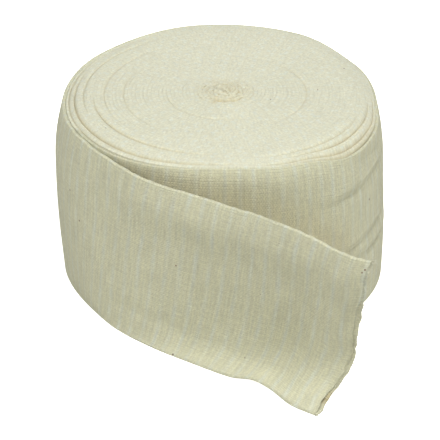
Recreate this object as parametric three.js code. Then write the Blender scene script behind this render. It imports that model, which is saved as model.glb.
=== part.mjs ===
// A roll of tubular support bandage, standing on end, with its outer turn leading off into a loose end.
// The bandage is one knitted tube, pressed flat and wound on itself with no core. The roll stands on
// its flat lower end at z = 0, with its axis on Z. The outer turn runs counterclockwise round the
// back and left of the roll, leaves it at the front left, and stands on its lower fold as it runs
// forward and right to a ragged cut end, where the mouth of the tube shows as a slit.
// Millimetres, +Z up, the front towards -Y.
import * as THREE from 'three';

// Driving sizes
const clothWidth = 87.5; // the flattened tube, and so the height of the roll
const turnPitch = 1.7; // both layers of the flattened tube, as wound
const rollRadius = 74.7; // outside the last turn that the roll itself holds
const sheetThickness = 1.5; // both layers of the loose end
const layerThickness = 0.65; // one layer, at the open mouth
const gap = 0.5; // between the outer turn and the roll below it

// The roll
const seamAngle = 100; // degrees from +X, where the outer turn starts over the roll
const columns = 56; // steps round the roll
const sideLevels = 18; // steps down the side
const levelCrowding = 0.35; // how much closer together they lie towards the foot
const footRound = { height: 4, inset: 1.6 }; // the rounded lower edge
const turnsPerGroove = 3; // the upper end shows every third turn as a step of the spiral
const grooveDepth = 0.9;
const grooveShares = [0, 0.14, 0.86]; // across one step: the groove, then the two edges of its turn
const coreCentre = new THREE.Vector2(1.7, 2); // the first folds lie a little off the axis
const shoulderWidth = 13; // how far in from the rim the upper end starts to fall to it
const shoulderFall = 2.2; // power of that fall

// The crumpled first folds, ring by ring from outside inwards, each with a number of knuckles.
const coreTable = [
  { radius: 12.5, rise: 0, knuckles: 5, wander: 0.3, relief: 0 },
  { radius: 7.6, rise: 0.2, knuckles: 9, wander: 0.4, relief: 0.3 },
  { radius: 6.4, rise: 2, knuckles: 9, wander: 0.5, relief: 0.6 },
  { radius: 3.4, rise: 1.5, knuckles: 7, wander: 0.9, relief: 0.9 },
  { radius: 1.2, rise: 0.1, knuckles: 5, wander: 0.2, relief: 0.2 },
];

// Heights between which the side's shoulder, lean and foot take effect.
const shoulderSpan = { from: 58, to: 86 };
const leanSpan = { from: 20, to: 86 };
const footSpan = { from: 50, to: 0 };

// The roll's edge and side at an angle: the height of the upper rim, how far the shoulder draws in
// there, how far the side leans in over its whole height, and how far it draws in at the foot. The
// outer turns have slipped down at the front right.
const sideTable = [
  { angle: 0, height: 82.5, shoulder: 4, lean: 2.6, foot: 0.9 },
  { angle: 30, height: 84, shoulder: 3.4, lean: 1.6, foot: 1.5 },
  { angle: 60, height: 87, shoulder: 2.6, lean: 0.6, foot: 2 },
  { angle: 100, height: 87, shoulder: 2.8, lean: 0.3, foot: 2.4 },
  { angle: 140, height: 85.5, shoulder: 4.2, lean: 0.4, foot: 2.8 },
  { angle: 180, height: 84, shoulder: 4.6, lean: 0.4, foot: 3 },
  { angle: 205, height: 84.5, shoulder: 4.2, lean: 0.3, foot: 4.2 },
  { angle: 230, height: 85, shoulder: 3.4, lean: 0.2, foot: 3.6 },
  { angle: 270, height: 86, shoulder: 3, lean: 0.5, foot: 2.6 },
  { angle: 300, height: 83.5, shoulder: 2.6, lean: 1, foot: 1.4 },
  { angle: 322, height: 77.5, shoulder: 1.6, lean: 1.6, foot: 0.7 },
  { angle: 342, height: 78, shoulder: 2.4, lean: 2.4, foot: 0.7 },
  { angle: 360, height: 82.5, shoulder: 4, lean: 2.6, foot: 0.9 },
];

// Creases pressed into the right side, from their rear end to their front end.
const creaseTable = [
  { fromAngle: 352, fromHeight: 64, toAngle: 312, toHeight: 61, depth: 1.1 },
  { fromAngle: 354, fromHeight: 37, toAngle: 314, toHeight: 32, depth: 0.9 },
  { fromAngle: 357, fromHeight: 25, toAngle: 320, toHeight: 27, depth: 1.3 },
];
const creaseReach = 3.5; // how far a crease spreads to each side
const creaseFade = 0.2; // share of its length over which it fades out past each end

// The loose end. A row is one line across the cloth: its foot on the floor, its upper edge, how far
// it runs in along the floor before it turns up, and how far its middle bows inward.
const looseTable = [
  { footX: -56.5, footY: -43.2, edgeX: -52.4, edgeY: -54.9, edgeZ: 84.3, toe: -2.5, belly: -2 },
  { footX: -46.3, footY: -58.2, edgeX: -35.1, edgeY: -68.9, edgeZ: 82, toe: 2, belly: -1 },
  { footX: -30, footY: -73.6, edgeX: -13.6, edgeY: -80.4, edgeZ: 79, toe: 8, belly: 2 },
  { footX: -12, footY: -86.7, edgeX: 7.5, edgeY: -90.1, edgeZ: 76.5, toe: 12, belly: 4 },
  { footX: 4.6, footY: -97.8, edgeX: 24, edgeY: -100.1, edgeZ: 75, toe: 15, belly: 5 },
  { footX: 19.2, footY: -105.4, edgeX: 40.4, edgeY: -109.9, edgeZ: 74, toe: 14, belly: 5 },
  { footX: 29.8, footY: -119.2, edgeX: 52.5, edgeY: -116.4, edgeZ: 73, toe: 18, belly: 6 },
  { footX: 38.8, footY: -125.8, edgeX: 61.2, edgeY: -121, edgeZ: 72.5, toe: 18, belly: 6 },
];
const floorSlope = 0.25; // rise of the cloth over the length that lies out along the floor
const wrapStep = 6; // degrees between stations on the roll
const wrapEnd = 213; // degrees, at the upper edge
const wrapShear = 6.2; // degrees by which the foot trails the upper edge where the wrap ends
const shearStart = 130; // degrees, where the foot starts to trail
const standStart = 185; // degrees, where the upper edge starts to stand away from the roll
const edgeStand = 3.6; // how far it stands away where the wrap ends
const stationsPerRow = 5; // between two rows of the loose end
const pointsAcross = 13;
const arch = { back: 33, reach: 8, height: 1.6, narrowing: 8 }; // the lower fold lifts off the floor

// The cut end and the mouth of the tube
const mouthDepth = 30; // how far in the two layers are parted
const mouthGap = 0.7; // between the two layers at the mouth
const cornerGape = { across: 0.06, reach: 0.12, gap: 1.5 }; // more at the lower corner
const pocketRound = 0.2; // how far the pocket reaches into each fold, in half gaps
const cutCurl = 3; // how far the cut end rolls back towards the roll, at its upper corner
const curlReach = 9;
const curlAtFoot = 0.3; // share of the roll-back at the lower corner
const cutWaves = [
  { across: 0.02, reach: 0.06, out: 1.5 },
  { across: 0.27, reach: 0.13, out: 6.5 },
  { across: 0.5, reach: 0.1, out: 4 },
  { across: 0.72, reach: 0.1, out: 2.6 },
  { across: 0.95, reach: 0.1, out: -0.5 },
];
const waveReach = 22; // how far in the waves of the cut pull the cloth
const backLead = { across: 0.05, reach: 0.09, out: 1.8 }; // the rear layer shows beyond the front one

const radians = THREE.MathUtils.degToRad;
const bump = (x, centre, reach) => Math.exp(-(((x - centre) / reach) ** 2));
const shareOf = (span, x) => Math.max(0, (x - span.from) / (span.to - span.from));
const nearness = (distance, reach) => Math.max(0, 1 - distance / reach);

// The side's sizes at an angle in degrees, eased between the rows of the table.
function sideAt(angle) {
  const a = THREE.MathUtils.euclideanModulo(angle, 360);
  const next = sideTable.findIndex((row) => row.angle > a);
  const from = sideTable[next - 1];
  const to = sideTable[next];
  const share = THREE.MathUtils.smoothstep(a, from.angle, to.angle);
  const eased = (column) => THREE.MathUtils.lerp(from[column], to[column], share);
  return {
    height: eased('height'),
    shoulder: eased('shoulder'),
    lean: eased('lean'),
    foot: eased('foot'),
  };
}

// The outside is a spiral: one turn of cloth further out after each full turn from the seam. It draws
// in towards both ends.
function outline(angle, height) {
  const { shoulder, lean, foot } = sideAt(angle);
  const spiral = rollRadius - turnPitch * (1 - (angle - seamAngle) / 360);
  const upper = shoulder * shareOf(shoulderSpan, height) ** 2;
  const slope = lean * shareOf(leanSpan, height);
  const lower = foot * shareOf(footSpan, height) ** 1.6;
  return spiral - upper - slope - lower;
}

// Depth of the creases at a place on the side.
function creaseDepth(angle, height) {
  const a = THREE.MathUtils.euclideanModulo(angle, 360);
  return creaseTable.reduce((sum, row) => {
    const along = (row.fromAngle - a) / (row.fromAngle - row.toAngle);
    if (along < -creaseFade || along > 1 + creaseFade) return sum;
    const line = THREE.MathUtils.lerp(row.fromHeight, row.toHeight, along);
    const fade = Math.sin((Math.PI * (along + creaseFade)) / (1 + 2 * creaseFade));
    return sum + row.depth * fade * bump(height, line, creaseReach);
  }, 0);
}

// Collects vertices and triangles, and turns them into a three.js geometry.
class Surface {
  constructor() {
    this.positions = [];
    this.triangles = [];
  }

  vertex(x, y, z) {
    this.positions.push(x, y, Math.max(0, z));
    return this.positions.length / 3 - 1;
  }

  // A flat or nearly flat polygon, counterclockwise from outside, cut into a fan at its first corner.
  polygon(...corners) {
    for (let i = 1; i < corners.length - 1; i++) {
      this.triangles.push(corners[0], corners[i], corners[i + 1]);
    }
  }

  geometry() {
    const made = new THREE.BufferGeometry();
    made.setAttribute('position', new THREE.Float32BufferAttribute(this.positions, 3));
    made.setIndex(this.triangles);
    made.computeVertexNormals();
    return made;
  }
}

// The wound body. Its upper end is one spiral strip: row j at the end of a turn is row j + 3 at the
// start of the next, so one groove runs from the core to the outer turn.
function woundRoll() {
  const surface = new Surface();
  const perTurn = grooveShares.length;
  const angleAt = (i) => seamAngle + (360 * i) / columns;
  const rimRadius = (i) => outline(angleAt(i), sideAt(angleAt(i)).height);
  const coreRadius = coreTable[0].radius;
  const turns = Math.floor((rimRadius(0) - coreRadius) / (turnPitch * turnsPerGroove));
  const lastRow = perTurn * turns;

  function topRadius(i, j) {
    const done = Math.floor(j / perTurn) + grooveShares[j % perTurn] + i / columns;
    return THREE.MathUtils.lerp(coreRadius, rimRadius(0), done / turns);
  }

  function topVertex(i, j) {
    const angle = angleAt(i);
    const rim = rimRadius(i);
    const atRim = j === lastRow;
    const inner = topRadius(i, Math.min(j, lastRow - perTurn));
    const share = atRim ? 1 : grooveShares[j % perTurn];
    const radius = j > lastRow - perTurn ? THREE.MathUtils.lerp(inner, rim, share) : inner;
    const drop = (clothWidth - sideAt(angle).height) * nearness(rim - radius, shoulderWidth) ** shoulderFall;
    const groove = j > 0 && !atRim && j % perTurn === 0 ? grooveDepth : 0;
    const a = radians(angle);
    return surface.vertex(
      coreCentre.x * (1 - radius / rim) + radius * Math.cos(a),
      coreCentre.y * (1 - radius / rim) + radius * Math.sin(a),
      clothWidth - drop - groove,
    );
  }

  // The upper end
  const rows = [];
  for (let i = 0; i < columns; i++) {
    rows.push(Array.from({ length: lastRow + 1 }, (_, j) => topVertex(i, j)));
  }
  const turnEnd = rows[0].slice(perTurn);
  for (let j = lastRow - perTurn + 1; j <= lastRow; j++) turnEnd.push(topVertex(columns, j));
  rows.push(turnEnd);
  for (let i = 0; i < columns; i++) {
    for (let j = 0; j < lastRow; j++) {
      surface.polygon(rows[i][j], rows[i][j + 1], rows[i + 1][j + 1], rows[i + 1][j]);
    }
  }

  // The crumpled first folds
  const rings = coreTable.slice(1).map(({ radius, rise, knuckles, wander, relief }) => (
    Array.from({ length: columns }, (_, i) => {
      const a = radians(angleAt(i));
      const r = radius + wander * Math.sin(a * knuckles + radius);
      return surface.vertex(
        coreCentre.x + r * Math.cos(a),
        coreCentre.y + r * Math.sin(a),
        clothWidth + rise + relief * Math.sin(a * (knuckles + 2) + 2 * radius),
      );
    })
  ));
  const last = columns - 1;
  for (let i = 0; i < last; i++) {
    surface.polygon(rings[0][i], rows[i][0], rows[i + 1][0], rings[0][i + 1]);
  }
  const firstTurn = rows[0].slice(0, perTurn + 1).reverse();
  surface.polygon(rings[0][last], rows[last][0], ...firstTurn, rings[0][0]);
  for (let k = 0; k < rings.length - 1; k++) {
    for (let i = 0; i < columns; i++) {
      const next = (i + 1) % columns;
      surface.polygon(rings[k + 1][i], rings[k][i], rings[k][next], rings[k + 1][next]);
    }
  }
  const hub = surface.vertex(coreCentre.x, coreCentre.y, clothWidth);
  const innermost = rings[rings.length - 1];
  for (let i = 0; i < columns; i++) {
    surface.polygon(hub, innermost[i], innermost[(i + 1) % columns]);
  }

  // The side, from the rim down, with one more column where the outer turn of the roll ends
  const side = [];
  for (let i = 0; i <= columns; i++) {
    const angle = angleAt(i);
    const a = radians(angle);
    const column = [rows[i][rows[i].length - 1]];
    for (let level = 1; level <= sideLevels; level++) {
      const fall = level / sideLevels;
      const height = sideAt(angle).height * (1 - fall) ** (1 + levelCrowding * fall);
      const rounding = footRound.inset * nearness(height, footRound.height) ** 2;
      const radius = outline(angle, height) - rounding - creaseDepth(angle, height);
      column.push(surface.vertex(radius * Math.cos(a), radius * Math.sin(a), height));
    }
    side.push(column);
  }
  for (let i = 0; i < columns; i++) {
    for (let level = 0; level < sideLevels; level++) {
      surface.polygon(side[i][level], side[i][level + 1], side[i + 1][level + 1], side[i + 1][level]);
    }
  }

  // The step where the outer turn goes over to the loose end
  const first = side[0];
  const end = side[columns];
  surface.polygon(end[1], first[1], first[0], ...turnEnd.slice(-perTurn));
  for (let level = 1; level < sideLevels; level++) {
    surface.polygon(end[level], end[level + 1], first[level + 1], first[level]);
  }

  // The flat lower end
  const base = surface.vertex(coreCentre.x, coreCentre.y, 0);
  for (let i = 0; i < columns; i++) {
    surface.polygon(base, side[i + 1][sideLevels], side[i][sideLevels]);
  }
  surface.polygon(base, first[sideLevels], end[sideLevels]);
  return surface.geometry();
}

// A line across the cloth where it lies on the roll, from the lower fold to the upper. The foot
// trails the upper edge more and more towards the place where the cloth leaves the roll.
function wrappedLine(angle) {
  const shear = wrapShear * Math.max(0, (angle - shearStart) / (wrapEnd - shearStart)) ** 2;
  return Array.from({ length: pointsAcross }, (_, j) => {
    const share = j / (pointsAcross - 1);
    const height = THREE.MathUtils.lerp(sheetThickness / 2, sideAt(angle).height, share);
    const at = angle - shear * (1 - share);
    const stand = edgeStand * THREE.MathUtils.smoothstep(angle, standStart, wrapEnd) * share ** 3;
    const radius = outline(at, height) + gap + sheetThickness / 2 + stand;
    return new THREE.Vector3(radius * Math.cos(radians(at)), radius * Math.sin(radians(at)), height);
  });
}

// A line across the loose cloth: it lies out along the floor at its foot and then turns up.
function looseLine(row, k) {
  const before = looseTable[Math.max(0, k - 1)];
  const after = looseTable[Math.min(looseTable.length - 1, k + 1)];
  const run = new THREE.Vector3(after.edgeX - before.edgeX, after.edgeY - before.edgeY, 0).normalize();
  const inward = new THREE.Vector3(-run.y, run.x, 0);
  const foot = new THREE.Vector3(row.footX, row.footY, sheetThickness / 2);
  const edge = new THREE.Vector3(row.edgeX, row.edgeY, row.edgeZ);
  const profile = new THREE.CubicBezierCurve3(
    foot,
    foot.clone().addScaledVector(inward, row.toe).setZ(sheetThickness / 2 + floorSlope * row.toe),
    foot.clone().lerp(edge, 0.5).addScaledVector(inward, row.belly),
    edge,
  );
  return profile.getSpacedPoints(pointsAcross - 1);
}

// The middle surface of the outer turn: a grid of points, station by station, and the ahead, up and
// outward directions at each.
function middleSurface() {
  const steps = Math.round((wrapEnd - seamAngle) / wrapStep);
  const startAngle = seamAngle + THREE.MathUtils.radToDeg(gap / rollRadius);
  const grid = Array.from({ length: steps + 1 }, (_, i) => (
    wrappedLine(THREE.MathUtils.lerp(startAngle, wrapEnd, i / steps))
  ));
  const lines = [grid[steps - 1], grid[steps], ...looseTable.map(looseLine)];
  const runs = lines[0].map((_, j) => new THREE.CatmullRomCurve3(lines.map((line) => line[j])));
  const intervals = lines.length - 1;
  for (let i = stationsPerRow + 1; i <= intervals * stationsPerRow; i++) {
    grid.push(runs.map((run) => run.getPoint(i / (intervals * stationsPerRow))));
  }
  const directions = grid.map((line, i) => line.map((point, j) => {
    const ahead = grid[Math.min(i + 1, grid.length - 1)][j].clone().sub(grid[Math.max(i - 1, 0)][j]);
    const up = line[Math.min(j + 1, pointsAcross - 1)].clone().sub(line[Math.max(j - 1, 0)]);
    const out = ahead.clone().cross(up).normalize();
    return { ahead: ahead.normalize(), up: up.normalize(), out };
  }));
  return { grid, directions };
}

// The outer turn and the loose end: a sheet of two layers with folded upper and lower edges, parted
// from each other at the mouth.
function looseEnd() {
  const { grid, directions } = middleSurface();
  const surface = new Surface();
  const last = grid.length - 1;
  const top = pointsAcross - 1;

  // Distance back from the cut end, along the upper edge.
  const back = grid.map(() => 0);
  for (let i = last - 1; i >= 0; i--) {
    back[i] = back[i + 1] + grid[i][top].distanceTo(grid[i + 1][top]);
  }
  const pocketStart = back.findIndex((distance) => distance < mouthDepth);

  // The arch in the lower fold, the rolled-back cut end and its waves.
  const shaped = grid.map((line, i) => line.map((point, j) => {
    const across = j / top;
    const { ahead, out } = directions[i][j];
    const lift = arch.height * bump(back[i], arch.back, arch.reach) * (1 - across) ** arch.narrowing;
    const curlShare = THREE.MathUtils.lerp(curlAtFoot, 1, across);
    const curl = cutCurl * curlShare * nearness(back[i], curlReach) ** 2;
    const wave = cutWaves.reduce((sum, w) => sum + w.out * bump(across, w.across, w.reach), 0);
    const moved = point.clone().addScaledVector(out, -curl);
    moved.addScaledVector(ahead, wave * nearness(back[i], waveReach));
    moved.z += lift;
    return moved;
  }));

  // Half the gap between the layers, and how far the rear layer runs ahead of the front one.
  const parting = (i, j) => {
    const open = nearness(back[i], mouthDepth);
    const gape = cornerGape.gap * bump(j / top, cornerGape.across, cornerGape.reach);
    return (open * mouthGap + open ** 3 * gape) / 2;
  };
  const lead = (i, j) => (
    backLead.out * nearness(back[i], waveReach) * bump(j / top, backLead.across, backLead.reach)
  );

  // A closed loop round the sheet at one station, half a thickness to each side of its middle
  // surface. The folds at its upper and lower edge are round by a share of that half.
  function loop(i, half, fold) {
    const place = (j, along, up) => {
      const { ahead, out, up: rise } = directions[i][j];
      const point = shaped[i][j].clone().addScaledVector(out, along).addScaledVector(rise, up);
      if (along < 0) point.addScaledVector(ahead, lead(i, j));
      return surface.vertex(point.x, point.y, point.z);
    };
    const outer = [];
    const inner = [];
    for (let j = 0; j <= top; j++) {
      outer.push(place(j, half(i, j), 0));
      inner.unshift(place(j, -half(i, j), 0));
    }
    return [...outer, place(top, 0, fold * half(i, top)), ...inner, place(0, 0, -fold * half(i, 0))];
  }
  const skin = (a, b) => a.forEach((_, k) => {
    const next = (k + 1) % a.length;
    surface.polygon(a[k], b[k], b[next], a[next]);
  });
  const cap = (ring, order) => {
    for (let k = 0; k < top; k++) {
      const across = [ring[k], ring[k + 1], ring[2 * top - k + 1], ring[2 * top + 2 - k]];
      surface.polygon(...order(across));
    }
    surface.polygon(...order([ring[top], ring[top + 1], ring[top + 2]]));
    surface.polygon(...order([ring[2 * top + 2], ring[2 * top + 3], ring[0]]));
  };

  const outside = [];
  for (let i = 0; i <= last; i++) {
    outside.push(loop(i, (s, j) => sheetThickness / 2 + parting(s, j), 1));
  }
  const pocket = [];
  for (let i = pocketStart; i <= last; i++) {
    pocket.push(loop(i, (s, j) => sheetThickness / 2 - layerThickness + parting(s, j), -pocketRound));
  }
  for (let i = 0; i < last; i++) skin(outside[i], outside[i + 1]);
  for (let i = 0; i < pocket.length - 1; i++) skin(pocket[i + 1], pocket[i]);
  skin(outside[last], pocket[pocket.length - 1]);
  cap(outside[0], (corners) => corners);
  cap(pocket[0], (corners) => corners.reverse());
  return surface.geometry();
}

const cotton = { color: 0xdad7c3, roughness: 0.95, metalness: 0 };
const roll = new THREE.Mesh(woundRoll(), new THREE.MeshStandardMaterial(cotton));
roll.name = 'wound_roll';
const tail = new THREE.Mesh(looseEnd(), new THREE.MeshStandardMaterial(cotton));
tail.name = 'loose_end';

const bandage = new THREE.Group();
bandage.add(roll, tail);
export default bandage;
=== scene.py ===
"""The looks of a wound roll of knitted tubular bandage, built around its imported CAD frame.

The bandage is one seamless knitted tube, pressed flat and wound on itself without a core. The inner
turns are one long spiral of the flattened tube. The outer turn and the loose end that it leads into
are the same tube with its two layers parted, so its mouth is open at the cut.
Lengths are in millimetres until a mesh is made, with +Z up and the front towards -Y.
"""

import logging
import math
import random
from collections.abc import Callable, Sequence
from dataclasses import dataclass, field
from enum import Enum

import bmesh
import bpy
from mathutils import Matrix, Vector, noise
from mathutils.geometry import interpolate_bezier


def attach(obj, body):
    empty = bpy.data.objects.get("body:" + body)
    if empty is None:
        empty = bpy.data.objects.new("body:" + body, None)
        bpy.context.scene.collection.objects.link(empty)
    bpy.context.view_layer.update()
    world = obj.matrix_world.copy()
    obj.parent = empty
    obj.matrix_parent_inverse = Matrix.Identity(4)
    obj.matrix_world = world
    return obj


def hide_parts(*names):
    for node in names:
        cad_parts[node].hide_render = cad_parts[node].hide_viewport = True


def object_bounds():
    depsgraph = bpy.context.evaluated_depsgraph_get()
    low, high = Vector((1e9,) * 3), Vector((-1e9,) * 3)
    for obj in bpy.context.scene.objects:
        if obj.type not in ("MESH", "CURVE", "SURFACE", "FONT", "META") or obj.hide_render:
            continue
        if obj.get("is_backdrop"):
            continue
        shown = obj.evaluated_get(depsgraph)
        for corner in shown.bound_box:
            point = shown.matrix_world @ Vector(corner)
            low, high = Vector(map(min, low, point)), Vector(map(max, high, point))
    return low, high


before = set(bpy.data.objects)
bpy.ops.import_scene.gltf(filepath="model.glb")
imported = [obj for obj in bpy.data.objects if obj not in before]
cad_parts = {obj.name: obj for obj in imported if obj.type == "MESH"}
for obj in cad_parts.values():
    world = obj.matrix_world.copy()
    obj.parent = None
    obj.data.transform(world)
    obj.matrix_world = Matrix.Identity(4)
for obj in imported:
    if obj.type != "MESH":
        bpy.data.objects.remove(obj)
cad_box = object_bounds()

logging.basicConfig(level=logging.INFO, format="%(message)s")
log = logging.getLogger("bandage")

# A Shade maps a span of noise to shades: from low, from high, to low, to high. The Ways at a point
# of the cloth are the ahead, up and outward directions.
Span = tuple[float, float]
Triple = tuple[float, float, float]
Colour = tuple[float, float, float, float]
Shade = tuple[float, float, float, float]
Ways = tuple[Vector, Vector, Vector]

METRES = 0.001
MILLIMETRES = 1000.0
CLOTH_MAP = "cloth"
# The vertex attribute that holds the painted shade: how far each point's colour is darkened towards
# a brownish crevice colour.
PAINTED_SHADE = "painted_shade"

CLOTH_WIDTH = 87.5
TURN_PITCH = 1.7
ROLL_RADIUS = 74.7
SHEET_THICKNESS = 1.5
LAYER_THICKNESS = 0.6
TUBE_ROUND = 2 * CLOTH_WIDTH


class Layer(Enum):
    """The flattened tube's two layers: the front one and, towards the roll, the back one."""

    FRONT = 1
    BACK = -1


class Run(Enum):
    """The way a fine streak of the knit runs."""

    ACROSS = 0
    ALONG = 1


def bump(x: float, centre: float, reach: float) -> float:
    """A smooth hump: 1 at the centre, falling towards 0 over the reach to each side."""
    return math.exp(-(((x - centre) / reach) ** 2))


def share_of(x: float, start: float, end: float) -> float:
    """How far x has come from start towards end, as a share that isn't below 0."""
    return max(0.0, (x - start) / (end - start))


def nearness(distance: float, reach: float) -> float:
    """1 at no distance, down to 0 at the reach and past it."""
    return max(0.0, 1 - distance / reach)


def ease(x: float, start: float, end: float) -> float:
    """The share of the way from start to end, from 0 to 1, which starts and ends softly."""
    share = min(1.0, max(0.0, (x - start) / (end - start)))
    return share * share * (3 - 2 * share)


def mix(a: float, b: float, share: float) -> float:
    """The value a given share of the way from a to b."""
    return a + (b - a) * share


def read_table(table: Sequence[Span], x: float) -> float:
    """A value read from a short table, eased between its rows.

    Args:
        table: Rows of place and value, in order of place.
        x: The place.

    Returns:
        The value there.
    """
    for (start, low), (end, high) in zip(table, table[1:]):
        if x <= end:
            return mix(low, high, ease(x, start, end))
    return table[-1][1]


def ripple(x: float, y: float, z: float) -> float:
    """Smooth noise from -1 to 1 at a place."""
    return noise.noise(Vector((x, y, z)))


@dataclass(frozen=True)
class Hump:
    """A smooth hump or hollow.

    Attributes:
        at: Where it is highest.
        reach: How far it spreads to each side.
        height: How high it is, negative for a hollow.
    """

    at: float
    reach: float
    height: float

    def over(self, x: float) -> float:
        """Its height at a place."""
        return self.height * bump(x, self.at, self.reach)


@dataclass(frozen=True)
class Sway:
    """A slow, uneven bow of the cloth.

    Attributes:
        along: How often it turns along the cloth, per millimetre.
        across: How often it turns over the cloth's width.
        phase: Which stretch of the noise it takes.
        held: How far it bows where the roll holds the cloth.
        free: How far it bows at the free end.
    """

    along: float
    across: float
    phase: float
    held: float
    free: float

    def out_by(self, u: float, share: float, freedom: float) -> float:
        """How far the cloth bows out at a distance along it, a share across it and a freedom."""
        noise_here = ripple(u * self.along, share * self.across, self.phase)
        return noise_here * mix(self.held, self.free, freedom)


@dataclass(frozen=True)
class Side:
    """The roll's side at one angle.

    Attributes:
        angle: Degrees from +X, counterclockwise from above.
        height: Height of the upper rim.
        shoulder: How far the side draws in at the upper rim.
        lean: How far it leans in over its height.
        foot: How far it draws in at the foot.
    """

    angle: float
    height: float
    shoulder: float
    lean: float
    foot: float


@dataclass(frozen=True)
class Groove:
    """A line between two turns of the upper end that is deeper than the rest.

    Attributes:
        turn: How many turns in from the outside it lies.
        start: Angle where it starts, counted on from the seam.
        end: Angle where it ends.
        depth: How deep it is.
        width: How wide it is.
    """

    turn: int
    start: float
    end: float
    depth: float
    width: float = 0.5

    def depth_at(self, angle: float, below: float) -> float:
        """Its depth at a place of the upper end.

        Args:
            angle: Degrees, counted on from the seam.
            below: Even distance in from the outside.

        Returns:
            The depth there.
        """
        if not self.start < angle < self.end:
            return 0.0
        fade = math.sin(math.pi * (angle - self.start) / (self.end - self.start)) ** 0.5
        return self.depth * fade * bump(below, self.turn * TURN_PITCH, self.width)


@dataclass(frozen=True)
class Crease:
    """A crease pressed into the side of the roll.

    Attributes:
        start: Angle and height of its rear end.
        end: Angle and height of its front end.
        depth: Depth of its soft trough, under the fold that bulges above it.
        sharp: Depth of the narrow line between the two.
        reach: Half height of the trough.
        line: Half height of the line.
        fade: How far it fades out past its ends, as a share of its length.
        bulge: Height of the fold above the trough, as a share of the trough's depth.
    """

    start: Span
    end: Span
    depth: float
    sharp: float
    reach: float = 3.5
    line: float = 1.1
    fade: float = 0.2
    bulge: float = 0.7

    def depth_at(self, angle: float, height: float) -> float:
        """Its depth at a place on the side.

        Args:
            angle: Degrees, from 0 to 360.
            height: Height on the side.

        Returns:
            The depth there.
        """
        along = (self.start[0] - angle) / (self.start[0] - self.end[0])
        if not -self.fade < along < 1 + self.fade:
            return 0.0
        middle = mix(self.start[1], self.end[1], along)
        fade = math.sin(math.pi * (along + self.fade) / (1 + 2 * self.fade)) ** 0.7
        below = self.depth * bump(height, middle - self.line, self.reach)
        above = self.bulge * self.depth * bump(height, middle + self.reach, self.reach)
        return fade * (below - above + self.sharp * bump(height, middle, self.line))


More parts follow.
